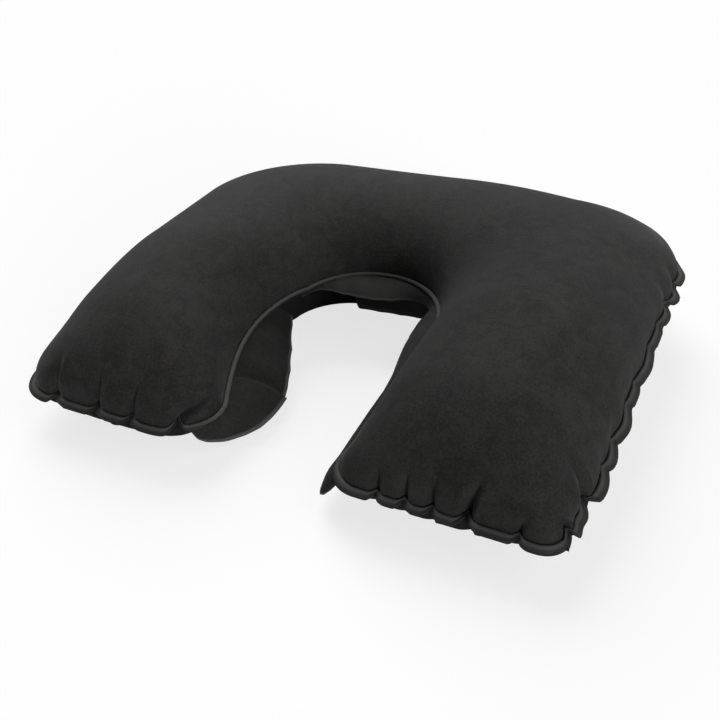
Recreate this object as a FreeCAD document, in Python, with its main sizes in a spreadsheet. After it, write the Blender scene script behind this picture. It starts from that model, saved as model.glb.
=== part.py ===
import FreeCAD, Part
import math
import os
import Sketcher
from FreeCAD import Placement, Rotation, Vector

# U-shaped inflatable neck pillow.  Two flocked film panels are welded round a U outline, two
# guard flaps stand into the neck hole from the inner weld, and a push-in air valve sits low on
# the outer side of the left arm.  Bodies are drawn with Y = 0 at the arm ends and then set back
# by half the depth, so that the origin lies under the middle of the pillow, where it rests.

SIZES = {
    "half_width_front": 174,   # weld line at the arm ends
    "half_width_back": 189,    # weld line at its widest, before the back corners
    "depth": 324,              # from the weld at the arm ends to the weld at the back
    "arm_lean": 15,            # arm ends lie this far to the left of the back
    "back_radius_right": 63,
    "back_radius_left": 98,
    "tip_radius": 24,          # outer corner of an arm end
    "gap_radius": 14,          # inner corner of an arm end
    "gap_half_width": 45,      # half of the gap between the arm ends
    "neck_radius": 53,         # round back of the neck hole
    "neck_centre": 137,        # from the arm ends to the centre of that round
    "neck_lean": 9,            # and that centre lies this far to the left of the back
    "seam_level": 44,          # weld plane above the resting surface
    "crown_rise": 46,          # top of the pillow above the weld plane
    "shoulder": 56,            # width over which a panel curves in from its side weld
    "end_shoulder": 42,        # the same at an arm end
    "film": 0.8,               # film with its flock pile
    "flange": 6,               # welded margin outside the air chamber
    "flap_film": 1.0,
    "flap_reach": 30,          # how far a guard flap stands into the neck hole
    "flap_droop": 22,          # and how far its free edge hangs below the weld
    "flap_lap": 1.5,           # flap's weld under the flange, measured from the flange's edge
    "flap_start": 14,          # a flap's front end behind the arm end
    "left_flap_stop": 96,      # angle round the neck hole where the left flap ends
    "right_flap_stop": 88,
    "valve_distance": 95,      # valve axis behind the arm end
    "valve_drop": 18,          # valve centre below the weld plane
    "valve_inset": 4.5,        # and inside the weld line there
    "valve_tilt": 30,          # valve axis below the horizontal
    "seat_radius": 11,         # flat doubled spot of film round the valve
    "seat_thickness": 2.8,
    "base_radius": 9.4,
    "base_thickness": 1.2,
    "collar_radius": 6.6,
    "collar_bore": 5.6,
    "collar_length": 5,        # inwards from the outer face of the seat
    "collar_rim": 0.4,         # outwards from it
    "stem_bore": 3.3,
    "stem_length": 16,
    "stem_rim": 1.0,           # stem's rim outside the seat when pushed in
    "stop_radius": 6.4,
    "stop_thickness": 1.2,
    "plug_length": 6,
    "head_radius": 4.2,
    "head_thickness": 2.6,
    "flapper_radius": 4.8,
    "flapper_thickness": 0.6,
    "strap_width": 3,
    "strap_thickness": 0.7,
    "strap_reach": 4.2,        # from the head's side to the strap's bend
    "slide_gap": 0.08,         # stem in collar, and plug in stem
    "weld_gap": 0.05,          # collar in the panel's hole
}

# Cross-section of a panel: fraction of its rise and of its shoulder at each outline.
PROFILE = ((0.0, 0.0), (0.42, 0.09), (0.74, 0.30), (0.93, 0.58), (1.0, 0.80))
CORNER_LOSS = 0.7              # share of a corner radius that is gone where the shoulder ends
BACK_LOSS = 0.5                # the same for the back corner, as a share of the shoulder

ORIGIN = (-1, 1)
Y_AXIS = -2
START, END, CENTRE = 1, 2, 3
RIGHT, LEFT = 1, -1

document = FreeCAD.newDocument("NeckPillow")
sheet = document.addObject("Spreadsheet::Sheet", "Sizes")
for row, (alias, number) in enumerate(SIZES.items(), start=1):
    sheet.set(f"A{row}", alias)
    sheet.set(f"B{row}", str(number))
    sheet.setAlias(f"B{row}", alias)
document.recompute()

parts = []


def size(alias):
    return float(sheet.get(alias))


# A length is a sum of sheet values, kept as {alias: factor}, so that its number and the
# expression that binds it come from the same place.
def length(**factors):
    return factors


def plus(*lengths):
    total = {}
    for item in lengths:
        for alias, factor in item.items():
            total[alias] = total.get(alias, 0) + factor
    return {alias: factor for alias, factor in total.items() if abs(factor) > 1e-9}


def times(factor, item):
    return {alias: factor * share for alias, share in item.items()}


def minus(item, *others):
    return plus(item, *[times(-1, other) for other in others])


def value(item):
    return sum(size(alias) * factor for alias, factor in item.items())


def text(item):
    return " + ".join(f"Sizes.{alias} * ({factor:.6g})" for alias, factor in item.items())


def new_body(name):
    body = document.addObject("PartDesign::Body", name)
    body.Label = name
    parts.append(body)
    return body


def new_sketch(body, name, role, level=None):
    sketch = body.newObject("Sketcher::SketchObject", name)
    plane = next(item for item in body.Origin.OriginFeatures if item.Role == role)
    sketch.AttachmentSupport = [(plane, "")]
    sketch.MapMode = "FlatFace"
    if level:
        sketch.setExpression("AttachmentOffset.Base.z", text(level))
    return sketch


def constrain(sketch, *terms):
    sketch.addConstraint(Sketcher.Constraint(*terms))


def dimension(sketch, kind, references, item):
    """A driving dimension bound to the sheet."""
    index = sketch.addConstraint(Sketcher.Constraint(kind, *references, value(item)))
    sketch.setExpression(f"Constraints[{index}]", text(item))


def segment(sketch, start, end):
    line = Part.LineSegment(Vector(start[0], start[1], 0), Vector(end[0], end[1], 0))
    return sketch.addGeometry(line, False)


def arc(sketch, centre, radius, first, last):
    circle = Part.Circle(Vector(centre[0], centre[1], 0), Vector(0, 0, 1), radius)
    return sketch.addGeometry(Part.ArcOfCircle(circle, first, last), False)


def on_circle(centre, radius, angle):
    return centre[0] + radius * math.cos(angle), centre[1] + radius * math.sin(angle)


def tangent_angle(first, second, reach, turn):
    """Direction of the normal of a line that passes two circles, `reach` apart along it."""
    across, along = second[0] - first[0], second[1] - first[1]
    return math.atan2(along, across) + turn * math.acos(reach / math.hypot(across, along))


def weld_rounds(side, end, margin, bend):
    """Centre and radius of each round of an outline inset by `side` and `end` from the weld."""
    tip = minus(length(tip_radius=1 - CORNER_LOSS * bend), margin)
    gap = minus(length(gap_radius=1 - CORNER_LOSS * bend), margin)
    rounds = {"neck": (length(neck_lean=-1), length(neck_centre=1),
                       plus(length(neck_radius=1), side))}
    for hand, name in ((RIGHT, "right"), (LEFT, "left")):
        back = minus({f"back_radius_{name}": 1, "shoulder": -BACK_LOSS * bend}, margin)
        out = minus(length(half_width_front=1), side, tip)
        across = minus(length(half_width_back=1), side, back)
        near = plus(length(gap_half_width=1), side, gap)
        rounds[f"tip_{name}"] = (minus(times(hand, out), length(arm_lean=1)), plus(end, tip), tip)
        rounds[f"back_{name}"] = (times(hand, across), minus(length(depth=1), side, back), back)
        rounds[f"gap_{name}"] = (minus(times(hand, near), length(arm_lean=1)), plus(end, gap), gap)
    return rounds


class Round:
    """A round of the outline, with its numbers."""

    def __init__(self, place):
        self.centre = (value(place[0]), value(place[1]))
        self.radius = value(place[2])

    def at(self, angle):
        return on_circle(self.centre, self.radius, angle)


def side_angles(rounds, name, turn):
    """Normals of one arm's outer and inner straight stretches."""
    tip, back = rounds[f"tip_{name}"], rounds[f"back_{name}"]
    neck, gap = rounds["neck"], rounds[f"gap_{name}"]
    outer = tangent_angle(tip.centre, back.centre, tip.radius - back.radius, -turn)
    inner = tangent_angle(neck.centre, gap.centre, neck.radius + gap.radius, turn)
    return outer, inner


def pillow_outline(body, name, level, side, end, margin, bend):
    """The U at one level.  `margin` is the part of the inset that every round shares."""
    sketch = new_sketch(body, name, "XY_Plane", level)
    places = weld_rounds(side, end, margin, bend)
    rounds = {key: Round(place) for key, place in places.items()}
    right_out, right_in = side_angles(rounds, "right", 1)
    left_out, left_in = side_angles(rounds, "left", -1)
    quarter = math.pi / 2
    spans = {"tip_right": (-quarter, right_out), "back_right": (right_out, quarter),
             "back_left": (quarter, left_out), "tip_left": (left_out, 3 * quarter),
             "gap_left": (3 * quarter, 2 * math.pi + left_in - math.pi),
             "gap_right": (right_in + math.pi, 3 * quarter), "neck": (right_in, left_in)}
    curves = {key: arc(sketch, rounds[key].centre, rounds[key].radius, *span)
              for key, span in spans.items()}
    ends = {key: {START: rounds[key].at(span[0]), END: rounds[key].at(span[1])}
            for key, span in spans.items()}
    joins = (("tip_right", END, "back_right", START), ("back_right", END, "back_left", START),
             ("back_left", END, "tip_left", START), ("tip_left", END, "gap_left", START),
             ("gap_left", END, "neck", END), ("neck", START, "gap_right", START),
             ("gap_right", END, "tip_right", START))
    lines = {}
    for first, first_end, second, second_end in joins:
        line = segment(sketch, ends[first][first_end], ends[second][second_end])
        constrain(sketch, "Tangent", curves[first], first_end, line, START)
        constrain(sketch, "Tangent", line, END, curves[second], second_end)
        lines[first] = line
    for key in ("back_right", "tip_left", "gap_right"):
        constrain(sketch, "Horizontal", lines[key])
    for key, curve in curves.items():
        dimension(sketch, "Radius", (curve,), places[key][2])
        dimension(sketch, "DistanceX", (*ORIGIN, curve, CENTRE), places[key][0])
    for key in ("tip_right", "tip_left", "back_right", "neck"):
        dimension(sketch, "DistanceY", (*ORIGIN, curves[key], CENTRE), places[key][1])
    return sketch


def dome_loft(body, kind, name, direction, rise, skin):
    """Loft through the profile's outlines; `skin` is how far it stays inside the panel."""
    outlines = []
    for number, (height, bend) in enumerate(PROFILE):
        margin = times(1 - bend, skin)
        side = plus(length(shoulder=bend), margin)
        end = plus(length(end_shoulder=bend), margin)
        level = plus(length(seam_level=1), times(direction * height, minus(rise, skin)))
        outlines.append(pillow_outline(body, f"{name}{number}", level, side, end, margin, bend))
    loft = body.newObject(kind, name)
    loft.Profile = outlines[0]
    loft.Sections = outlines[1:]
    loft.Ruled = False
    loft.Closed = False
    return loft


def weld_margin(body, direction):
    margin = length(flange=-1)
    sketch = pillow_outline(body, "Margin", length(seam_level=1), margin, margin, margin, 0)
    pad = body.newObject("PartDesign::Pad", "Flange")
    pad.Profile = sketch
    pad.Reversed = direction < 0
    pad.setExpression("Length", "Sizes.film")
    return pad


def panel(name, direction, rise):
    """One film panel: a hollow dome with its layer of the welded margin."""
    body = new_body(name)
    body.setExpression("Placement.Base.y", "-Sizes.depth / 2")
    dome_loft(body, "PartDesign::AdditiveLoft", "Dome", direction, rise, {})
    weld_margin(body, direction)
    hollow = dome_loft(body, "PartDesign::SubtractiveLoft", "Hollow", direction, rise,
                       length(film=1))
    body.Tip = hollow
    document.recompute()
    return body


def weld_side(distance):
    """X of the left arm's outer weld line at this distance behind the arm ends."""
    rounds = {key: Round(place) for key, place in weld_rounds({}, {}, {}, 0).items()}
    normal = side_angles(rounds, "left", -1)[0]
    tip = rounds["tip_left"]
    line = tip.centre[0] * math.cos(normal) + tip.centre[1] * math.sin(normal) + tip.radius
    return (line - distance * math.sin(normal)) / math.cos(normal)


def valve_place(set_back):
    across = weld_side(size("valve_distance")) + size("valve_inset")
    height = size("seam_level") - size("valve_drop")
    facing = Rotation(Vector(0, -1, 0), 90 + size("valve_tilt"))
    return Placement(Vector(across, size("valve_distance") - set_back, height), facing)


def valve_seat(body):
    """Flat doubled spot of the lower panel, with the hole that the valve's collar fills."""
    seat = body.newObject("PartDesign::AdditiveCylinder", "Seat")
    seat.setExpression("Radius", "Sizes.seat_radius")
    seat.setExpression("Height", "Sizes.seat_thickness")
    hole = body.newObject("PartDesign::SubtractiveCylinder", "CollarHole")
    hole.setExpression("Radius", "Sizes.collar_radius + Sizes.weld_gap")
    hole.setExpression("Height", "Sizes.seat_thickness * 3")
    axis = valve_place(0)
    seat.Placement = axis.multiply(Placement(Vector(0, 0, -size("seat_thickness")), Rotation()))
    hole.Placement = axis.multiply(Placement(Vector(0, 0, -2 * size("seat_thickness")), Rotation()))
    body.Tip = hole
    document.recompute()


def guard_flap(name, hand, stop):
    """Film strip that leaves the inner weld at a slope and follows it round the neck hole."""
    body = new_body(name)
    body.setExpression("Placement.Base.y", "-Sizes.depth / 2")
    lap = length(flange=-1, flap_lap=1)
    places = weld_rounds(lap, lap, lap, 0)
    rounds = {key: Round(place) for key, place in places.items()}
    neck = rounds["neck"]
    inner = side_angles(rounds, "right" if hand == RIGHT else "left", hand)[1]
    turn_at = neck.at(inner)
    start_y = size("flap_start")
    start_x = turn_at[0] - math.tan(inner) * (start_y - turn_at[1])
    top = length(seam_level=1, film=-1)
    spine = new_sketch(body, "WeldLine", "XY_Plane", top)
    straight = segment(spine, (start_x, start_y), turn_at)
    last = math.radians(size(stop))
    near_end, first, second = (START, inner, last) if hand == RIGHT else (END, last, inner)
    bend = arc(spine, neck.centre, neck.radius, first, second)
    constrain(spine, "Tangent", straight, END, bend, near_end)
    dimension(spine, "Radius", (bend,), places["neck"][2])
    dimension(spine, "DistanceX", (*ORIGIN, bend, CENTRE), places["neck"][0])
    dimension(spine, "DistanceY", (*ORIGIN, bend, CENTRE), places["neck"][1])
    dimension(spine, "DistanceY", (*ORIGIN, straight, START), length(flap_start=1))
    section = new_sketch(body, "Section", "XZ_Plane")
    section.setExpression("AttachmentOffset.Base.z", "-Sizes.flap_start")
    high = value(top)
    low = high - size("flap_droop")
    near = start_x
    far = start_x - hand * size("flap_film")
    reach = hand * size("flap_reach")
    corners = ((near, high), (far, high), (far - reach, low), (near - reach, low))
    lines = [segment(section, corners[n], corners[(n + 1) % 4]) for n in range(4)]
    for n in range(4):
        constrain(section, "Coincident", lines[n], END, lines[(n + 1) % 4], START)
    constrain(section, "Horizontal", lines[0])
    constrain(section, "Horizontal", lines[2])
    constrain(section, "Parallel", lines[1], lines[3])
    dimension(section, "DistanceY", (*ORIGIN, lines[0], START), top)
    dimension(section, "DistanceY", (lines[2], START, lines[1], START), length(flap_droop=1))
    ends = (END, START) if hand == RIGHT else (START, END)
    dimension(section, "DistanceX", (lines[0], ends[0], lines[0], ends[1]), length(flap_film=1))
    dimension(section, "DistanceX", (lines[1], ends[0], lines[1], ends[1]), length(flap_reach=1))
    pipe = body.newObject("PartDesign::AdditivePipe", "Strip")
    pipe.Profile = section
    pipe.Spine = (spine, ["Edge1", "Edge2"])
    body.Tip = pipe
    document.recompute()
    return body


def profile(body, points):
    """Closed outline in the valve's axial plane; each point is a pair of bound lengths."""
    sketch = new_sketch(body, "Profile", "XZ_Plane")
    places = [(value(radius), value(height)) for radius, height in points]
    count = len(points)
    lines = [segment(sketch, places[n], places[(n + 1) % count]) for n in range(count)]
    for n in range(count):
        constrain(sketch, "Coincident", lines[n], END, lines[(n + 1) % count], START)
    for line, (radius, height) in zip(lines, points):
        if radius:
            dimension(sketch, "DistanceX", (*ORIGIN, line, START), radius)
        else:
            constrain(sketch, "PointOnObject", line, START, Y_AXIS)
        dimension(sketch, "DistanceY", (*ORIGIN, line, START), height)
    return sketch


def turned(name, points):
    """A valve piece turned about its own axis, which points out of the pillow."""
    body = new_body(name)
    sketch = profile(body, points)
    revolution = body.newObject("PartDesign::Revolution", "Turned")
    revolution.Profile = sketch
    revolution.ReferenceAxis = (sketch, ["V_Axis"])
    revolution.Angle = 360
    body.Tip = revolution
    body.Placement = valve_place(size("depth") / 2)
    return body


def valve_pieces():
    rim = length(stem_rim=1)
    under_seat = length(seat_thickness=-1)
    base_under = minus(under_seat, length(base_thickness=1))
    collar_end = length(collar_length=-1)
    collar_top = length(collar_rim=1)
    bore, collar, flat = length(collar_bore=1), length(collar_radius=1), length(base_radius=1)
    turned("valve_base", [(bore, collar_end), (collar, collar_end), (collar, base_under),
                          (flat, base_under), (flat, under_seat), (collar, under_seat),
                          (collar, collar_top), (bore, collar_top)])
    stem_end = minus(rim, length(stem_length=1))
    stop_top = plus(stem_end, length(stop_thickness=1))
    inside, outside = length(stem_bore=1), length(collar_bore=1, slide_gap=-1)
    stop = length(stop_radius=1)
    turned("valve_stem", [(inside, stem_end), (stop, stem_end), (stop, stop_top),
                          (outside, stop_top), (outside, rim), (inside, rim)])
    head, peg = length(head_radius=1), length(stem_bore=1, slide_gap=-1)
    head_top = plus(rim, length(head_thickness=1))
    turned("valve_plug", [({}, minus(rim, length(plug_length=1))),
                          (peg, minus(rim, length(plug_length=1))), (peg, rim), (head, rim),
                          (head, head_top), ({}, head_top)])
    flap_top = minus(stem_end, length(slide_gap=1))
    flap_end = minus(flap_top, length(flapper_thickness=1))
    disc = length(flapper_radius=1)
    turned("valve_check_flap", [({}, flap_end), (disc, flap_end), (disc, flap_top),
                                ({}, flap_top)])
    strap(rim, head_top)


def strap(rim, head_top):
    """Band from the stem's rim out, round, and back to the side of the plug's head."""
    body = new_body("valve_strap")
    sketch = new_sketch(body, "Loop", "XZ_Plane")
    band = length(strap_thickness=1)
    near = length(head_radius=1, slide_gap=1)
    bend_x = value(plus(near, length(strap_reach=1)))
    low, high = value(rim), value(head_top)
    centre = (bend_x, (low + high) / 2)
    outer, inner = (high - low) / 2, (high - low) / 2 - value(band)
    wide = arc(sketch, centre, outer, -math.pi / 2, math.pi / 2)
    narrow = arc(sketch, centre, inner, -math.pi / 2, math.pi / 2)
    bottom = segment(sketch, (value(near), low), (bend_x, low))
    bottom_in = segment(sketch, (value(near), low + value(band)), (bend_x, low + value(band)))
    top = segment(sketch, (value(near), high), (bend_x, high))
    top_in = segment(sketch, (value(near), high - value(band)), (bend_x, high - value(band)))
    foot = segment(sketch, (value(near), low), (value(near), low + value(band)))
    hand = segment(sketch, (value(near), high), (value(near), high - value(band)))
    constrain(sketch, "Tangent", bottom, END, wide, START)
    constrain(sketch, "Tangent", wide, END, top, END)
    constrain(sketch, "Tangent", bottom_in, END, narrow, START)
    constrain(sketch, "Tangent", narrow, END, top_in, END)
    constrain(sketch, "Coincident", wide, CENTRE, narrow, CENTRE)
    constrain(sketch, "Coincident", bottom, START, foot, START)
    constrain(sketch, "Coincident", bottom_in, START, foot, END)
    constrain(sketch, "Coincident", top, START, hand, START)
    constrain(sketch, "Coincident", top_in, START, hand, END)
    constrain(sketch, "Horizontal", bottom)
    constrain(sketch, "Vertical", foot)
    constrain(sketch, "Vertical", hand)
    dimension(sketch, "DistanceX", (*ORIGIN, foot, START), near)
    dimension(sketch, "DistanceX", (*ORIGIN, hand, START), near)
    dimension(sketch, "DistanceX", (*ORIGIN, wide, CENTRE), plus(near, length(strap_reach=1)))
    dimension(sketch, "DistanceY", (*ORIGIN, foot, START), rim)
    dimension(sketch, "DistanceY", (*ORIGIN, hand, START), head_top)
    dimension(sketch, "DistanceY", (foot, START, foot, END), band)
    pad = body.newObject("PartDesign::Pad", "Band")
    pad.Profile = sketch
    pad.Midplane = True
    pad.setExpression("Length", "Sizes.strap_width")
    body.Tip = pad
    body.Placement = valve_place(size("depth") / 2)
    return body


panel("upper_panel", 1, length(crown_rise=1))
valve_seat(panel("lower_panel", -1, length(seam_level=1)))
guard_flap("neck_flap_left", LEFT, "left_flap_stop")
guard_flap("neck_flap_right", RIGHT, "right_flap_stop")
valve_pieces()
document.recompute()

for item in document.Objects:
    if "Invalid" in item.State or "Error" in item.State:
        raise RuntimeError(f"{item.Name} failed: {item.State}")
os.makedirs("parts", exist_ok=True)
for body in parts:
    shape = body.Shape
    if shape.isNull() or not shape.isValid() or not shape.Solids:
        raise RuntimeError(f"{body.Label} has no valid solid")
    shape.exportStep(os.path.join("parts", f"{body.Label}.step"))
    box = shape.BoundBox
    print(f"{body.Label}: {len(shape.Solids)} solid, {shape.Volume:.0f} mm3, "
          f"x {box.XMin:.1f}..{box.XMax:.1f} y {box.YMin:.1f}..{box.YMax:.1f} "
          f"z {box.ZMin:.1f}..{box.ZMax:.1f}")
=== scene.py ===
import math

import bmesh
import bpy
import numpy as np
from mathutils import Matrix, Vector


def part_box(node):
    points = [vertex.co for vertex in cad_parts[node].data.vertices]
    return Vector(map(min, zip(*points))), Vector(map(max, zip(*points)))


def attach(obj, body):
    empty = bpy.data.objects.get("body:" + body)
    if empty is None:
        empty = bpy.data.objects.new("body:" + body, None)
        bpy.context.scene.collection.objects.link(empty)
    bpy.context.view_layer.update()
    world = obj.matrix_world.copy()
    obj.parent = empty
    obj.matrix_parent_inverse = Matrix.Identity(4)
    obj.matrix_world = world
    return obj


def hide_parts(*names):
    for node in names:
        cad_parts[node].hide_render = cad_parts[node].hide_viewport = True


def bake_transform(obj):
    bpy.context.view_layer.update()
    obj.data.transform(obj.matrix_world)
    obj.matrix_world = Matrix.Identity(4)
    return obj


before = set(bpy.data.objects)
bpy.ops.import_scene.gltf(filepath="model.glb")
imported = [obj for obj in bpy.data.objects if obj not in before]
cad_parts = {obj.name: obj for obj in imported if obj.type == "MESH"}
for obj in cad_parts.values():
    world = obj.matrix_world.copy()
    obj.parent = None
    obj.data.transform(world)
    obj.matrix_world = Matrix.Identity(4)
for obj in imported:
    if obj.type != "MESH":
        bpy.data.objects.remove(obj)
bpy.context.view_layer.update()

# ---------------------------------------------------------------------------------------
# Sizes, in metres.  Y runs from the arm ends (-) to the back of the neck (+), Z is up.
# ---------------------------------------------------------------------------------------
UPPER_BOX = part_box("upper_panel")
FLANGE = 0.006                                  # welded margin outside the air chamber
ARM_ENDS = UPPER_BOX[0].y + FLANGE              # weld line at the arm ends
DEPTH = UPPER_BOX[1].y - FLANGE - ARM_ENDS
HALF_BACK = UPPER_BOX[1].x - FLANGE             # weld line before the back corners
HALF_FRONT = 0.174
ARM_LEAN = 0.015                                # arm ends lie this far to the left
NECK_RADIUS = 0.053
NECK_CENTRE = 0.137                             # behind the arm ends
GAP_HALF = 0.045
TIP_RADIUS = 0.024
GAP_RADIUS = {1: 0.014, -1: 0.029}              # rounds between arm ends and the neck hole
BACK_RADIUS = {1: 0.067, -1: 0.093}
BACK_BOW = 0.0056
BACK_SWING = {1: 0.0050, -1: -0.0022}           # the back line's wave on each side of its middle
INNER_BOW = {1: 0.0, -1: 0.0145}                # the left arm's inner weld is hollow
INNER_BOW_SPAN = (0.030, 0.152)                 # behind the arm ends

END_WELD = 0.027                                # height of the weld line at the arm ends
BACK_WELD = 0.056                               # and at the back
WELD_RISE_LENGTH = 0.130
FRONT_CROWN = 0.0523                            # rise of the upper panel above its weld
BACK_CROWN = 0.0385
END_SHOULDER = 0.056                            # over which it curves down to the arm end
SECTION_POWER = 1.06

FILM = 0.0007
STRAP_FILM = 0.0007
VALVE_HOLE = 0.00665
VALVE_SEAT = 0.0095
VALVE_PLACE = Vector((-0.1845, -0.067, 0.026))
VALVE_AXES = Matrix(((-0.5, 0, -0.866025), (0, 1, 0), (0.866025, 0, -0.5)))
ROWS_SHOULDER = 36                              # grid rows over an arm end's shoulder
ROWS_ARM = 28
ROWS_NECK = 92                                  # half of the rows round the neck
COLUMNS = 126                                   # across a panel, from inner to outer weld
# Steps across the welded margin: out from the weld, rise of its bead, and how pale it's pressed.
MARGIN = ((0.0005, 0.0008, 0.7), (0.0012, 0.0013, 1.0), (0.0020, 0.0013, 1.0),
          (0.0028, 0.0008, 0.8), (0.0034, 0.0001, 0.3), (0.0052, 0.0, 0.05))
WIDE_MARGIN = 1.2                               # the right side's margin is wider by this
NARROW_MARGIN = 0.0018                          # and the neck's narrower, as its flaps cover it
MARGIN_DROP = 0.10                              # it droops as it goes out

RIGHT, LEFT = 1, -1

# Folds that run from the weld up the film: side, edge, distance along that edge, length,
# depth, half width, slant.  An "end" edge starts at the inner corner, an "outer" edge at
# the arm's outer front corner.
FOLDS = (
    (RIGHT, "end", 0.023, 0.022, 0.0032, 0.0060, 0.10),
    (RIGHT, "end", 0.039, 0.023, 0.0038, 0.0060, 0.05),
    (RIGHT, "end", 0.054, 0.025, 0.0038, 0.0065, 0.00),
    (RIGHT, "end", 0.073, 0.034, 0.0064, 0.0080, 0.12),
    (RIGHT, "end", 0.100, 0.014, 0.0030, 0.0050, 0.10),
    (RIGHT, "outer", 0.005, 0.028, 0.0050, 0.0070, 0.10),
    (RIGHT, "outer", 0.027, 0.038, 0.0080, 0.0090, 0.10),
    (RIGHT, "outer", 0.053, 0.014, 0.0012, 0.0070, 0.00),
    (RIGHT, "outer", 0.072, 0.016, 0.0018, 0.0070, 0.10),
    (RIGHT, "outer", 0.101, 0.014, 0.0012, 0.0080, 0.00),
    (RIGHT, "outer", 0.122, 0.017, 0.0016, 0.0070, -0.10),
    (RIGHT, "outer", 0.163, 0.016, 0.0014, 0.0080, 0.00),
    (RIGHT, "outer", 0.190, 0.018, 0.0020, 0.0070, 0.00),
    (RIGHT, "outer", 0.216, 0.026, 0.0046, 0.0080, 0.00),
    (RIGHT, "outer", 0.243, 0.026, 0.0044, 0.0080, 0.00),
    (RIGHT, "outer", 0.292, 0.017, 0.0018, 0.0070, 0.00),
    (RIGHT, "outer", 0.345, 0.016, 0.0016, 0.0070, 0.00),
    (LEFT, "end", 0.006, 0.036, 0.0078, 0.0095, -0.12),
    (LEFT, "end", 0.037, 0.030, 0.0048, 0.0080, -0.10),
    (LEFT, "end", 0.062, 0.036, 0.0062, 0.0085, -0.10),
    (LEFT, "end", 0.093, 0.034, 0.0060, 0.0085, -0.10),
    (LEFT, "outer", 0.052, 0.016, 0.0014, 0.0080, 0.00),
    (LEFT, "outer", 0.096, 0.016, 0.0012, 0.0080, 0.00),
    (LEFT, "outer", 0.131, 0.015, 0.0012, 0.0080, 0.00),
    (LEFT, "outer", 0.172, 0.016, 0.0014, 0.0080, 0.00),
    (LEFT, "outer", 0.211, 0.017, 0.0018, 0.0080, 0.00),
    (LEFT, "outer", 0.252, 0.018, 0.0022, 0.0080, 0.00),
    (LEFT, "outer", 0.296, 0.018, 0.0018, 0.0080, 0.00),
    (LEFT, "outer", 0.352, 0.016, 0.0014, 0.0080, 0.00),
)
# Lengths of weld that stand out (or in): side, edge, distance along it, half length, out.
SWELLS = (
    (RIGHT, "end", 0.115, 0.017, 0.0032),
    (RIGHT, "outer", 0.015, 0.012, -0.0040),
    (RIGHT, "outer", 0.041, 0.013, 0.0016),
    (RIGHT, "outer", 0.060, 0.009, 0.0012),
    (RIGHT, "outer", 0.086, 0.013, 0.0020),
    (RIGHT, "outer", 0.142, 0.018, 0.0016),
    (RIGHT, "outer", 0.203, 0.012, 0.0012),
    (RIGHT, "outer", 0.230, 0.012, 0.0026),
    (RIGHT, "outer", 0.262, 0.016, 0.0020),
    (LEFT, "end", 0.117, 0.018, 0.0012),
)
STEEP = 0.30                                    # a fold's steep side, as a share of its width
LIP = 0.0011                                    # the lobe over it rises this much
WELD_DIP = 0.0014                               # a lobe's weld hangs this far under a fold's
WELD_DRAW = 0.0014                              # a fold draws the weld in
LOBE = 0.0012                                   # film bulges this far between folds
LOBE_LENGTH = 0.026

# Free edge of a neck flap: distance along the inner weld from the left arm's corner, then
# reach into the neck hole, shift along the weld, and rise, in millimetres.
LEFT_FLAP = (
    (1, -3.0, 0.0, -7.6), (6, -3.0, -2.0, -14.0), (12, -2.0, -2.8, -18.6),
    (18, 1.0, -4.1, -20.4), (25, 4.9, -6.7, -22.4), (32, 13.0, -9.3, -23.5),
    (38, 21.7, -8.8, -23.6), (43, 28.4, -5.0, -22.5), (46, 32.7, -0.3, -21.0),
    (49, 36.0, 2.9, -18.6),
)
LEFT_FLAP_BACK = (
    (43, 26.0, 1.0, -24.5), (48, 33.0, 4.5, -24.5), (56, 33.9, 10.1, -22.0), (72, 31.0, 14.6, -22.2),
    (92, 21.1, 19.8, -23.0), (112, 2.9, 25.1, -23.0), (124, -7.4, 23.1, -20.1),
    (131, -6.7, 16.5, -13.4), (141, -1.6, 5.7, -6.3), (152, 1.6, 1.9, -2.8),
    (162, 4.9, -0.3, -2.7), (171, 10.0, -2.1, -3.5), (181, 17.1, -3.8, -4.8),
    (193, 23.8, -0.9, -6.2), (206, 27.0, 3.8, -6.9), (220, 22.7, 7.7, -8.0),
    (238, 11.1, 6.3, -8.4), (252, 6.2, 2.1, -8.1), (264, 4.9, -1.4, -7.8),
    (274, 5.4, -2.1, -6.9), (284, 7.1, -0.4, -5.5),
    (292, 2.0, 0.0, -3.0),
)
RIGHT_FLAP = (
    (192, 0.2, 1.7, -22.6), (194, 5.5, 0.6, -26.7), (213, 8.1, 0.8, -28.0),
    (232, 6.3, 0.1, -28.0), (252, 2.0, -4.8, -26.6), (270, 0.4, -13.7, -24.1),
    (280, 11.1, -13.2, -21.7), (289, 19.2, -10.5, -20.3), (298, 22.8, -9.9, -20.9),
    (311, 23.2, -5.6, -21.3), (323, 20.6, -4.7, -21.5), (337, 16.5, -1.5, -20.8),
    (349, 13.5, -0.4, -19.8),
    (365, 12.0, 0.0, -21.5), (385, 12.5, 0.0, -19.5), (405, 12.5, 0.0, -18.5),
    (421, 12.0, 0.0, -18.5), (431, 12.5, 1.0, -18.0), (437, 12.0, 4.0, -14.0),
    (440, 2.0, 0.0, -3.0),
)


# ---------------------------------------------------------------------------------------
# Lines and surfaces
# ---------------------------------------------------------------------------------------
def arc(centre, radius, first, last, count):
    turn = np.linspace(first, last, count)
    return np.c_[centre[0] + radius * np.cos(turn), centre[1] + radius * np.sin(turn)]


def distances(line):
    steps = np.linalg.norm(np.diff(line, axis=0), axis=1)
    return np.r_[0, np.cumsum(steps)]


def points_at(line, reach):
    """Points of a polyline at distances along it."""
    run = distances(line)
    return np.stack([np.interp(reach, run, line[:, n]) for n in range(line.shape[1])], -1)


def smooth(value):
    value = np.clip(value, 0, 1)
    return value * value * (3 - 2 * value)


def tangent_angle(centre, other, reach, turn):
    """Direction from centre to the contact of a line tangent to two rounds."""
    step = np.array(other) - np.array(centre)
    return math.atan2(step[1], step[0]) + turn * math.acos(reach / np.hypot(*step))


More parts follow.
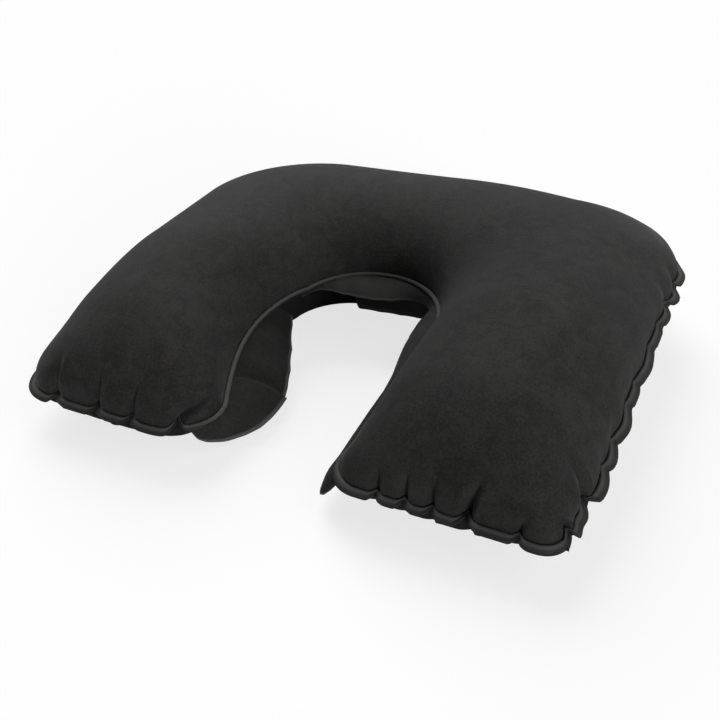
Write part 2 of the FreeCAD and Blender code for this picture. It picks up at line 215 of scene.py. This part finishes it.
def half_outline(hand):
    """Outer line, inner arm, inner round and end line of one side, in plan."""
    radius = BACK_RADIUS[hand]
    tip = (HALF_FRONT - TIP_RADIUS, TIP_RADIUS)
    back = (HALF_BACK - radius, DEPTH - radius)
    gap_radius = GAP_RADIUS[hand]
    gap = (GAP_HALF + gap_radius, gap_radius)
    neck = (0, NECK_CENTRE)
    side = tangent_angle(tip, back, TIP_RADIUS - radius, -1)
    out = np.array([math.cos(side), math.sin(side)])
    edge = np.linspace(np.array(tip) + TIP_RADIUS * out, np.array(back) + radius * out, 40)
    across = np.linspace(back[0], 0, 40)
    share = across / back[0]
    wave = BACK_SWING[hand] * np.sin(math.pi * share)
    bow = np.c_[across, DEPTH + BACK_BOW * (1 - share ** 2) + wave]
    outer = np.r_[arc(tip, TIP_RADIUS, -math.pi / 4, side, 12), edge[1:],
                  arc(back, radius, side, math.pi / 2, 40)[1:], bow[1:]]
    inner = tangent_angle(neck, gap, NECK_RADIUS + gap_radius, 1)
    turn = arc(gap, gap_radius, math.pi * 1.25, inner + math.pi, 12)
    contact = arc(neck, NECK_RADIUS, inner, inner, 1)[0]
    inner_arm = np.r_[turn, np.linspace(turn[-1], contact, 60)[1:]]
    inner_round = arc(neck, NECK_RADIUS, inner, math.pi / 2, 60)
    end = np.r_[arc(gap, gap_radius, math.pi * 1.25, math.pi * 1.5, 10),
                arc(tip, TIP_RADIUS, -math.pi / 2, -math.pi / 4, 10)]
    for line in (inner_arm, inner_round):
        line[:, 0] += inner_bow(line[:, 1], hand)
    return outer, inner_arm, inner_round, end


def inner_bow(behind, hand):
    first, last = INNER_BOW_SPAN
    share = np.clip((behind - first) / (last - first), 0, 1)
    return INNER_BOW[hand] * np.sin(math.pi * share) ** 1.05


def weld_height(behind):
    rise = smooth(behind / WELD_RISE_LENGTH)
    along = np.clip(behind / DEPTH, 0, 1)
    return END_WELD + (BACK_WELD - END_WELD) * (rise + along) / 2


def half_plan(hand):
    """Plan points (rows, columns) of one side, and each row's distance behind the arm end."""
    outer, inner_arm, inner_round, end = half_outline(hand)
    arm = distances(inner_arm)[-1]
    shoulder = END_SHOULDER * (1 - np.cos(np.linspace(0, math.pi / 2, ROWS_SHOULDER + 1)))
    behind = np.r_[shoulder, np.linspace(END_SHOULDER, arm, ROWS_ARM + 1)[1:]]
    share = np.linspace(0, 1, ROWS_NECK + 1)[1:]
    whole = distances(outer)[-1]
    beside = behind * 1.02
    inner = np.r_[points_at(inner_arm, behind),
                  points_at(inner_round, share * distances(inner_round)[-1])]
    outer = np.r_[points_at(outer, beside),
                  points_at(outer, beside[-1] + (whole - beside[-1]) * share)]
    across = (1 - np.cos(np.linspace(0, math.pi, COLUMNS + 1))) / 2
    plan = inner[:, None] * (1 - across)[None, :, None] + outer[:, None] * across[None, :, None]
    ends = points_at(end, across * distances(end)[-1])
    behind = np.r_[behind, np.ones(ROWS_NECK)]
    keep = np.clip(1 - behind / 0.030, 0, 1)[:, None, None]
    plan = plan + keep * (ends - plan[0])[None]
    plan[..., 0] *= hand
    return plan, behind


def whole_plan():
    """Both halves, from the right arm's end round the neck to the left arm's end."""
    right, behind_right = half_plan(RIGHT)
    left, behind_left = half_plan(LEFT)
    plan = np.concatenate([right, left[::-1][1:]])
    behind = np.r_[behind_right, behind_left[::-1][1:]]
    plan[..., 0] -= ARM_LEAN * (1 - plan[..., 1] / DEPTH)
    return plan, behind


def along_rows(surface):
    """Distance over the surface from each row's first point, by column."""
    steps = np.linalg.norm(np.diff(surface, axis=1), axis=2)
    return np.concatenate([np.zeros((len(surface), 1)), np.cumsum(steps, 1)], 1)


def along_columns(surface):
    return along_rows(surface.transpose(1, 0, 2)).T


def normals(surface):
    """Unit normals of a surface of rows and columns, pointing up where it is level."""
    down, across = np.gradient(surface, axis=0), np.gradient(surface, axis=1)
    normal = np.cross(across, down)
    length = np.linalg.norm(normal, axis=2, keepdims=True)
    return normal / np.maximum(length, 1e-9)


def edge_distances(surface):
    """Distance over the film from each arm end and from the outer weld."""
    from_right, from_left = along_columns(surface), along_columns(surface[::-1])[::-1]
    from_outer = along_rows(surface[:, ::-1])[:, ::-1]
    return from_right, from_left, from_outer


def from_edge(surface, reach, hand, edge, at):
    """Which points are on a hand's side, how far up its edge each is, and how far beside a
    place on that edge."""
    from_right, from_left, from_outer = reach
    row = np.arange(len(surface))[:, None]
    half = len(surface) // 2
    mine = row <= half if hand == RIGHT else row > half
    if edge == "end":
        up = from_right if hand == RIGHT else from_left
        run = distances(surface[0 if hand == RIGHT else -1, :, :2])[None, :]
    elif hand == RIGHT:
        up, run = from_outer, distances(surface[:, -1, :2])[:, None]
    else:
        up, run = from_outer, distances(surface[::-1, -1, :2])[::-1, None]
    return mine, up, run - at


def fold_pattern(surface, reach):
    """Fields over the grid: fold depth, the lip beside it, and how the weld is drawn in."""
    depth, ridge, draw = (np.zeros(surface.shape[:2]) for _ in range(3))
    for hand, edge, at, length, deep, width, slant in FOLDS:
        mine, up, beside = from_edge(surface, reach, hand, edge, at)
        beside = (beside - slant * up) * hand
        rise = np.clip(up / length, 0, 1)
        spread = width * (1.10 - 0.40 * rise)
        spread = np.where(beside > 0, spread * STEEP, spread)
        valley = np.clip(1 - np.abs(beside) / spread, 0, 1) ** 2.0
        lip = np.exp(-((beside / (width * STEEP) - 1.15) / 0.55) ** 2)
        tail = (1 - rise) ** 1.2
        strength = deep / 0.0045
        depth = np.maximum(depth, mine * deep * valley * tail)
        ridge = np.maximum(ridge, mine * lip * tail * strength * np.clip(up / 0.003, 0.3, 1))
        near = np.clip(1 - up / 0.014, 0, 1)
        pull = np.clip(1 - np.abs(beside) / (width * 0.85), 0, 1) ** 1.3
        draw = np.maximum(draw, mine * min(strength, 1.4) * pull * near)
    return depth, ridge, draw


def swell_pattern(surface, reach):
    """How far the film near the weld stands out over the grid."""
    swell = np.zeros(surface.shape[:2])
    for hand, edge, at, half_length, out in SWELLS:
        mine, up, beside = from_edge(surface, reach, hand, edge, at)
        hill = np.cos(math.pi / 2 * np.clip(beside / half_length, -1, 1)) ** 2
        swell += mine * hill * out * np.clip(1 - up / 0.030, 0, 1) ** 1.5
    return swell


def panel_surface(side):
    """Outer face of the upper (side 1) or lower (side -1) panel inside its weld."""
    plan, behind = whole_plan()
    back = plan[..., 1]
    weld = weld_height(back)
    over = np.sqrt(1 - (1 - np.clip(behind / END_SHOULDER, 0, 1)) ** 2)[:, None]
    bulge = np.clip(np.sin(np.linspace(0, math.pi, COLUMNS + 1)), 0, 1)[None]
    share = np.clip(back / DEPTH, 0, 1)
    if side > 0:
        crown = FRONT_CROWN + (BACK_CROWN - FRONT_CROWN) * share
        height = weld + crown * bulge ** SECTION_POWER * over
    else:
        height = weld * (1 - np.clip(bulge * over * 1.12, 0, 1) ** SECTION_POWER)
    return np.dstack([plan, height]) + (0, ARM_ENDS, 0)


def rim_normals(surface):
    """Outward plan normals at the grid's edge points."""
    rows, columns = surface.shape[:2]
    loop = [(0, c) for c in range(columns)]
    loop += [(r, columns - 1) for r in range(1, rows)]
    loop += [(rows - 1, c) for c in range(columns - 2, -1, -1)]
    loop += [(r, 0) for r in range(rows - 2, 0, -1)]
    line = np.array([surface[place][:2] for place in loop])
    step = np.roll(line, -1, 0) - np.roll(line, 1, 0)
    out = np.c_[step[:, 1], -step[:, 0]]
    for _ in range(3):
        out = out / np.linalg.norm(out, axis=1, keepdims=True)
        out = (np.roll(out, 1, 0) + 2 * out + np.roll(out, -1, 0)) / 4
    out = out / np.linalg.norm(out, axis=1, keepdims=True)
    field = np.zeros((rows, columns, 2))
    for place, direction in zip(loop, out):
        field[place] = direction
    return field


def margin_directions(rim, reach):
    """The nearest margin's outward direction, over the whole grid."""
    from_right, from_left, from_outer = reach
    toward = np.zeros((*rim.shape[:2], 3))
    near_end = (from_right < from_outer)[..., None]
    near_left = (from_left < from_outer)[..., None]
    toward[..., :2] = rim[:, -1][:, None]
    toward[..., :2] = np.where(near_end, rim[0][None], toward[..., :2])
    toward[..., :2] = np.where(near_left, rim[-1][None], toward[..., :2])
    return toward


def folded_panel(side):
    """Panel with its folds, lobes and scalloped weld, and the rim fields for its margin."""
    surface = panel_surface(side)
    reach = edge_distances(surface)
    depth, ridge, draw = fold_pattern(surface, reach)
    swell = swell_pattern(surface, reach)
    outward = normals(surface) * side
    rim = rim_normals(panel_surface(1))
    edge = np.minimum(np.minimum(reach[0], reach[1]), reach[2])
    drawn = draw * WELD_DRAW - swell
    surface = surface - margin_directions(rim, reach) * drawn[..., None]
    fade = np.clip(1 - edge / 0.016, 0, 1)
    surface[..., 2] += (draw - 0.35 * fade) * WELD_DIP
    lobe = np.sin(math.pi * np.clip(edge / LOBE_LENGTH, 0, 1)) ** 1.2
    clear = 1 - np.clip(depth / 0.0012, 0, 1)
    push = LOBE * lobe * clear * (1 if side > 0 else 0.5) + LIP * ridge
    moved = surface + outward * (push - depth * (1 if side > 0 else 0.8))[..., None]
    at_rim = np.zeros(draw.shape)
    at_rim[0], at_rim[-1], at_rim[:, -1] = draw[0], draw[-1], draw[:, -1]
    return moved, rim, at_rim


def grid_mesh(name, rows, columns, place, fields):
    """Grid of rows x columns whose points place(row, column) gives, with vertex fields."""
    bm = bmesh.new()
    bmesh.ops.create_grid(bm, x_segments=columns - 1, y_segments=rows - 1, size=1)
    bm.verts.ensure_lookup_table()
    layers = {key: bm.verts.layers.float.new(key) for key in fields}
    for number, vert in enumerate(bm.verts):
        row, column = divmod(number, columns)
        vert.co = place[row, column]
        for key, layer in layers.items():
            vert[layer] = fields[key][row, column]
    mesh = bpy.data.meshes.new(name)
    bmesh.ops.remove_doubles(bm, verts=bm.verts, dist=1e-6)
    bm.to_mesh(mesh)
    bm.free()
    mesh.polygons.foreach_set("use_smooth", np.ones(len(mesh.polygons), bool))
    body = bpy.data.objects.new(name, mesh)
    bpy.context.scene.collection.objects.link(body)
    return body


def panel(name, side):
    """Outer face of a panel of film, with its welded margin."""
    surface, rim, draw = folded_panel(side)
    rows, columns = surface.shape[:2]
    edge = len(MARGIN)
    row = np.arange(-edge, rows + edge)
    column = np.arange(-edge, columns + edge)
    near_row, near_column = np.clip(row, 0, rows - 1), np.clip(column, 0, columns - 1)
    past = np.maximum(np.abs(row - near_row)[:, None], np.abs(column - near_column)[None])
    out, bead, pressed_pale_and_painted_light = (np.array([0] + [step[n] for step in MARGIN])[past] for n in range(3))
    # the neck flaps leave from the bead, so the inner weld has no margin outside it
    inner = np.clip((np.minimum(row, rows - 1 - row) - 4) / 10, 0, 1)[:, None]
    inner = inner * (column < 0)[None]
    out = np.minimum(out, np.where(inner > 0, MARGIN[-1][0] - NARROW_MARGIN * inner, 1))
    wide = (column > columns - 1)[None] * (row < rows / 2)[:, None]
    out = out * np.where(wide & (out > 0.003), WIDE_MARGIN, 1)
    index = np.ix_(near_row, near_column)
    place = surface[index].copy()
    place[..., :2] += rim[index] * out[..., None]
    hump = draw[index] * (out / FLANGE) ** 1.3
    place[..., 2] += hump * 0.0026 - MARGIN_DROP * out + side * FILM
    if side > 0:
        place[..., 2] += bead
        return grid_mesh(name, len(row), len(column), place, {"bead": pressed_pale_and_painted_light})
    place[..., 2] = np.maximum(place[..., 2], 0)
    body = grid_mesh(name, len(row), len(column), seated(place), {"bead": pressed_pale_and_painted_light * 0.3})
    body.data.flip_normals()
    return body


def seated(place):
    """The lower film is flat round the valve, level with its seat."""
    axes = np.array(VALVE_AXES)
    local = (place - np.array(VALVE_PLACE)) @ axes
    reach = np.hypot(local[..., 0], local[..., 1])
    share = smooth(1 - (reach - VALVE_SEAT) / 0.014) * (np.abs(local[..., 2]) < 0.02)
    local[..., 2] *= 1 - share
    return local @ axes.T + np.array(VALVE_PLACE)


def valve_hole(body):
    """Round hole in the film for the valve's collar."""
    turned = VALVE_AXES.to_4x4()
    turned.translation = VALVE_PLACE
    bpy.ops.mesh.primitive_cylinder_add(vertices=64, radius=VALVE_HOLE, depth=0.012)
    cutter = bpy.context.object
    cutter.matrix_world = turned
    cut = body.modifiers.new("Hole", "BOOLEAN")
    cut.operation = "DIFFERENCE"
    cut.solver = "EXACT"
    cut.object = cutter
    apply_modifiers(body)
    bpy.data.objects.remove(cutter)


def weld_line():
    """Inner weld from the left arm's corner round the neck to the right arm's corner."""
    surface = panel_surface(1)
    return surface[::-1, 0]


def apply_modifiers(body):
    bpy.context.view_layer.update()
    depsgraph = bpy.context.evaluated_depsgraph_get()
    mesh = bpy.data.meshes.new_from_object(body.evaluated_get(depsgraph))
    body.modifiers.clear()
    body.data = mesh


def thicken(body, thickness, offset):
    shell = body.modifiers.new("Film", "SOLIDIFY")
    shell.thickness = thickness
    shell.offset = offset
    apply_modifiers(body)
    body.data.polygons.foreach_set("use_smooth", np.ones(len(body.data.polygons), bool))


def flap(controls, start, stop, rows, columns, hang, creases):
    """Points of a film strip from the inner weld to its free edge, sagging as it goes.  Each
    crease is its distance along the weld, half width and depth."""
    line = weld_line()
    run = distances(line)
    line_at = np.linspace(start, stop, rows)
    base = points_at(line, line_at)
    step = points_at(line, np.clip(line_at + 0.002, 0, run[-1]))
    step = step - points_at(line, np.clip(line_at - 0.002, 0, run[-1]))
    step[:, 2] = 0
    step /= np.linalg.norm(step, axis=1, keepdims=True)
    inward = np.c_[step[:, 1], -step[:, 0], np.zeros(rows)]
    table = np.array(controls) / 1000
    reach, shift, rise = (np.interp(line_at, table[:, 0], table[:, n]) for n in (1, 2, 3))
    for values in (reach, shift, rise):
        values[1:-1] = (values[:-2] + 2 * values[1:-1] + values[2:]) / 4
    free = base + inward * reach[:, None] + step * shift[:, None]
    free[:, 2] += rise
    across = np.linspace(0, 1, columns)[None, :, None]
    place = base[:, None] * (1 - across) + free[:, None] * across
    bow = np.sin(math.pi * across[..., 0]) * hang
    place[..., 2] += bow * np.clip(-rise, 0, 0.03)[:, None]
    place += inward[:, None] * (bow * reach[:, None])[..., None] * 0.3
    place[..., 2] -= 0.0004
    for at, width, deep in creases:
        valley = np.exp(-((line_at - at) / width) ** 2)[:, None] * bow / hang
        place[..., 2] -= deep * valley
    return place


def sheet_body(name, place, pressed_pale_and_painted_light):
    rows, columns = place.shape[:2]
    # On a flap the "bead" field is painted light, and each row takes its value from the flap's pale
    # column.
    edge = np.repeat(pressed_pale_and_painted_light[:, None], columns, 1)
    # a painted highlight along the flap's free edge, on its last two columns
    edge[:, -2:] = 0.5
    body = grid_mesh(name, rows, columns, place, {"bead": edge})
    thicken(body, FILM, 0)
    return body


def valve_strap():
    """The plug's strap as one bent band, and the heights between which it bends."""
    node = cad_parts["valve_strap"]
    local = np.array([VALVE_AXES.transposed() @ (v.co - VALVE_PLACE) for v in node.data.vertices])
    near, low, high = local[:, 0].min(), local[:, 2].min(), local[:, 2].max()
    wide = local[:, 1].max()
    half = (high - low) / 2
    bend = local[:, 0].max() - half
    middle, radius = (low + high) / 2, half - STRAP_FILM / 2
    straight = np.linspace(near - 0.00012, bend, 8)[:-1]
    turn = np.linspace(-math.pi / 2, math.pi / 2, 26)
    line = np.r_[np.c_[straight, np.full(7, middle - radius)],
                 np.c_[bend + radius * np.cos(turn), middle + radius * np.sin(turn)],
                 np.c_[straight[::-1], np.full(7, middle + radius)]]
    side = np.linspace(-wide, wide, 7)
    place = np.array([[VALVE_PLACE + VALVE_AXES @ Vector((x, y, z)) for y in side]
                      for x, z in line])
    body = grid_mesh("valve_strap_band", len(line), 7, place, {})
    thicken(body, STRAP_FILM, 0)
    foot = VALVE_PLACE + VALVE_AXES @ Vector((bend, 0, low + STRAP_FILM))
    hand = VALVE_PLACE + VALVE_AXES @ Vector((bend, 0, high - STRAP_FILM))
    return body, foot, hand


# ---------------------------------------------------------------------------------------
# Materials
# ---------------------------------------------------------------------------------------
def nap_group():
    """Brushed flock: a mask of lighter and darker nap, and the height of its grain."""
    group = bpy.data.node_groups.new("Nap", "ShaderNodeTree")
    for name in ("Mask", "Grain"):
        group.interface.new_socket(name, in_out="OUTPUT", socket_type="NodeSocketFloat")
    nodes, links = group.nodes, group.links
    coordinates = nodes.new("ShaderNodeTexCoord")
    result = nodes.new("NodeGroupOutput")
    total = None
    for scale, detail, distortion, weight in ((16, 4, 0.6, 0.24), (75, 6, 1.0, 0.32),
                                              (800, 4, 0.0, 0.44)):
        noise = nodes.new("ShaderNodeTexNoise")
        noise.inputs["Scale"].default_value = scale
        noise.inputs["Detail"].default_value = detail
        noise.inputs["Distortion"].default_value = distortion
        links.new(coordinates.outputs["Object"], noise.inputs["Vector"])
        part = nodes.new("ShaderNodeMath")
        part.operation = "MULTIPLY_ADD"
        part.inputs[1].default_value = weight
        part.inputs[2].default_value = 0
        links.new(noise.outputs["Fac"], part.inputs[0])
        if total is not None:
            links.new(total, part.inputs[2])
        total = part.outputs[0]
    links.new(total, result.inputs["Mask"])
    grain = nodes.new("ShaderNodeTexNoise")
    grain.inputs["Scale"].default_value = 1600
    grain.inputs["Detail"].default_value = 3
    links.new(coordinates.outputs["Object"], grain.inputs["Vector"])
    links.new(grain.outputs["Fac"], result.inputs["Grain"])
    return group


def flock(name, group, dark, light, sheen, pressed_and_painted_light_colour):
    """Flocked film.  Its welded bead and margin are pressed, so their nap is paler.  On the neck
    flaps the same pale mix paints light: painted light on a band and a strip, and a painted
    highlight along the free edges.
    """
    material = bpy.data.materials.new(name)
    material.use_nodes = True
    nodes, links = material.node_tree.nodes, material.node_tree.links
    shader = nodes["Principled BSDF"]
    nap = nodes.new("ShaderNodeGroup")
    nap.node_tree = group
    spread = nodes.new("ShaderNodeMapRange")
    spread.inputs["From Min"].default_value = 0.42
    spread.inputs["From Max"].default_value = 0.58
    links.new(nap.outputs["Mask"], spread.inputs["Value"])
    colour = nodes.new("ShaderNodeMix")
    colour.data_type = "RGBA"
    colour.inputs["A"].default_value = (*dark, 1)
    colour.inputs["B"].default_value = (*light, 1)
    links.new(spread.outputs["Result"], colour.inputs["Factor"])
    # the "bead" field mixes in the pale colour: pressed nap on the panels' welds, painted light on
    # the flaps
    bead = nodes.new("ShaderNodeAttribute")
    bead.attribute_name = "bead"
    rim = nodes.new("ShaderNodeMix")
    rim.data_type = "RGBA"
    rim.inputs["B"].default_value = (*pressed_and_painted_light_colour, 1)
    links.new(bead.outputs["Fac"], rim.inputs["Factor"])
    links.new(colour.outputs["Result"], rim.inputs["A"])
    links.new(rim.outputs["Result"], shader.inputs["Base Color"])
    bump = nodes.new("ShaderNodeBump")
    bump.inputs["Strength"].default_value = 0.35
    bump.inputs["Distance"].default_value = 0.0003
    links.new(nap.outputs["Grain"], bump.inputs["Height"])
    links.new(bump.outputs["Normal"], shader.inputs["Normal"])
    shader.inputs["Roughness"].default_value = 0.85
    shader.inputs["Specular IOR Level"].default_value = 0.25
    shader.inputs["Sheen Weight"].default_value = sheen
    shader.inputs["Sheen Roughness"].default_value = 0.45
    return material


def vinyl(name, colour, roughness):
    material = bpy.data.materials.new(name)
    material.use_nodes = True
    nodes, links = material.node_tree.nodes, material.node_tree.links
    shader = nodes["Principled BSDF"]
    coordinates = nodes.new("ShaderNodeTexCoord")
    noise = nodes.new("ShaderNodeTexNoise")
    noise.inputs["Scale"].default_value = 700
    noise.inputs["Detail"].default_value = 3
    links.new(coordinates.outputs["Object"], noise.inputs["Vector"])
    level = nodes.new("ShaderNodeMapRange")
    level.inputs["To Min"].default_value = roughness - 0.06
    level.inputs["To Max"].default_value = roughness + 0.08
    links.new(noise.outputs["Fac"], level.inputs["Value"])
    links.new(level.outputs["Result"], shader.inputs["Roughness"])
    bump = nodes.new("ShaderNodeBump")
    bump.inputs["Strength"].default_value = 0.1
    bump.inputs["Distance"].default_value = 0.0001
    links.new(noise.outputs["Fac"], bump.inputs["Height"])
    links.new(bump.outputs["Normal"], shader.inputs["Normal"])
    shader.inputs["Base Color"].default_value = (*colour, 1)
    return material


NAP = nap_group()
FLOCK = flock("flocked_film", NAP, (0.0125, 0.0117, 0.0112), (0.0265, 0.0252, 0.0245), 0.09,
              (0.085, 0.083, 0.081))
# The flaps' flock is a darker copy of the upper film's, about 0.7 as bright, which is painted shade
# for the shade in the flaps' folds. Its pale mix colour is brighter than the bead's, and it paints
# light onto the flaps where their "bead" field marks them.
FLAP_FLOCK_PAINTED_LIGHT_AND_SHADE = flock("flocked_flap", NAP, (0.0095, 0.0088, 0.0082), (0.0185, 0.0177, 0.0170), 0.05,
                   (0.150, 0.147, 0.143))
# The lower film's flock is a darker copy of the upper film's, about 40% as bright. It is painted
# shade for the deep shade on the lower panel's inner wall under the neck flaps.
UNDER_FLOCK_PAINTED_SHADE = flock("flocked_film_under_painted_shade", NAP, (0.0050, 0.0047, 0.0045), (0.0100, 0.0096, 0.0093),
                    0.03, (0.085, 0.083, 0.081))
VINYL = vinyl("valve_plastic", (0.022, 0.022, 0.023), 0.42)


# ---------------------------------------------------------------------------------------
# Pieces
# ---------------------------------------------------------------------------------------
for label, side in (("upper_panel", 1), ("lower_panel", -1)):
    body = panel(label + "_film", side)
    # the lower panel takes the darker flock, its painted shade
    body.data.materials.append(FLOCK if side > 0 else UNDER_FLOCK_PAINTED_SHADE)
    thicken(body, FILM, -1)
    if side < 0:
        valve_hole(body)
    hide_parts(label)
    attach(body, "pillow")

# Each flap's pale column paints light through its "bead" field. The painted light is strongest on
# the right flap's hanging strip (0.26) and on the left flap's back band (0.13).
for label, controls, start, stop, rows, hang, creases, pressed_pale_and_painted_light, cad, flat, area in (
        ("neck_flap_left_front", LEFT_FLAP, 0.001, 0.049, 40, 0.22,
         ((0.034, 0.004, 0.0012), (0.040, 0.003, -0.0008)), ((0, 0.03), (1, 0.03)), (),
         (0.042, 0.076), 0.00159),
        ("neck_flap_left_film", LEFT_FLAP_BACK, 0.043, 0.292, 190, 0.20,
         ((0.055, 0.0045, 0.0038), (0.071, 0.005, 0.0016), (0.190, 0.012, -0.0014)),
         ((0.150, 0.0), (0.178, 0.13)), ("neck_flap_left",), (0.045, 0.250), 0.00562),
        ("neck_flap_right_film", RIGHT_FLAP, 0.192, 0.440, 180, 0.30, ((0.300, 0.008, 0.0012),),
         ((0.255, 0.26), (0.282, 0.03)), ("neck_flap_right",), (0.035, 0.263), 0.00680)):
    place = flap(controls, start, stop, rows, 26, hang, creases)
    pressed_pale_and_painted_light = np.interp(np.linspace(start, stop, rows), *np.array(pressed_pale_and_painted_light).T)
    body = sheet_body(label, place, pressed_pale_and_painted_light)
    body.data.materials.append(FLAP_FLOCK_PAINTED_LIGHT_AND_SHADE)
    if cad:
        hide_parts(*cad)
    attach(body, "pillow")

for label in ("valve_base", "valve_stem", "valve_plug", "valve_check_flap"):
    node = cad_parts[label]
    node.data.materials.clear()
    node.data.materials.append(VINYL)

strap, strap_foot, strap_hand = valve_strap()
strap.data.materials.append(VINYL)
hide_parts("valve_strap")
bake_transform(strap)

# ---------------------------------------------------------------------------------------
# Floor, light and camera
# ---------------------------------------------------------------------------------------
bpy.ops.mesh.primitive_plane_add(size=60)
floor = bpy.context.object
floor.name = "floor"
paper = bpy.data.materials.new("floor_paper")
paper.use_nodes = True
paper_nodes, paper_links = paper.node_tree.nodes, paper.node_tree.links
for name, grey, glow in (("seen", 0.30, 0.745), ("bounce", 0.62, 0.0)):
    surface = paper_nodes.new("ShaderNodeBsdfPrincipled")
    surface.name = name
    surface.inputs["Base Color"].default_value = (grey, grey, grey, 1)
    surface.inputs["Roughness"].default_value = 0.9
    surface.inputs["Specular IOR Level"].default_value = 0.0
    surface.inputs["Emission Color"].default_value = (1, 1, 1, 1)
    surface.inputs["Emission Strength"].default_value = glow
choice = paper_nodes.new("ShaderNodeMixShader")
ray = paper_nodes.new("ShaderNodeLightPath")
paper_links.new(ray.outputs["Is Camera Ray"], choice.inputs[0])
paper_links.new(paper_nodes["bounce"].outputs[0], choice.inputs[1])
paper_links.new(paper_nodes["seen"].outputs[0], choice.inputs[2])
paper_links.new(choice.outputs[0], paper_nodes["Material Output"].inputs["Surface"])
floor.data.materials.append(paper)

world = bpy.context.scene.world or bpy.data.worlds.new("studio")
bpy.context.scene.world = world
world.use_nodes = True
world.node_tree.nodes["Background"].inputs["Color"].default_value = (1, 1, 1, 1)
world.node_tree.nodes["Background"].inputs["Strength"].default_value = 0.07


def sun(name, strength, spread, azimuth, elevation):
    """Broad parallel light; azimuth turns from the -Y side towards +X."""
    light = bpy.data.lights.new(name, "SUN")
    light.energy = strength
    light.angle = math.radians(spread)
    lamp = bpy.data.objects.new(name, light)
    bpy.context.scene.collection.objects.link(lamp)
    a, e = math.radians(azimuth), math.radians(elevation)
    toward = Vector((math.sin(a) * math.cos(e), -math.cos(a) * math.cos(e), math.sin(e)))
    lamp.rotation_euler = toward.to_track_quat("Z", "Y").to_euler()


sun("key", 2.2, 45, 218, 46)
sun("side", 0.9, 60, 88, 36)
sun("fill", 1.4, 20, 46, 9)

CAMERA_AZIMUTH, CAMERA_ELEVATION, CAMERA_ROLL = 22.38, 35.52, -0.066
CAMERA_DISTANCE = 0.4617
CAMERA_TARGET = Vector((0.0117, -0.0694, 0.0438))
camera_data = bpy.data.cameras.new("camera")
camera_data.lens = 36.1
camera_data.sensor_width = 36
camera_data.shift_x = -0.0085
camera_data.shift_y = -0.0025
camera_data.clip_start = 0.01
camera_data.dof.use_dof = False
camera = bpy.data.objects.new("camera", camera_data)
bpy.context.scene.collection.objects.link(camera)
turn, lift = math.radians(CAMERA_AZIMUTH), math.radians(CAMERA_ELEVATION)
behind = Vector((math.sin(turn) * math.cos(lift), -math.cos(turn) * math.cos(lift),
                 math.sin(lift)))
right = Vector((0, 0, 1)).cross(behind).normalized()
up = behind.cross(right)
spin = Matrix.Rotation(math.radians(-CAMERA_ROLL), 3, behind)
axes = Matrix((spin @ right, spin @ up, behind)).transposed().to_4x4()
camera.matrix_world = Matrix.Translation(CAMERA_TARGET + behind * CAMERA_DISTANCE) @ axes
bpy.context.scene.camera = camera

scene = bpy.context.scene
scene.view_settings.view_transform = "Standard"
scene.view_settings.look = "None"
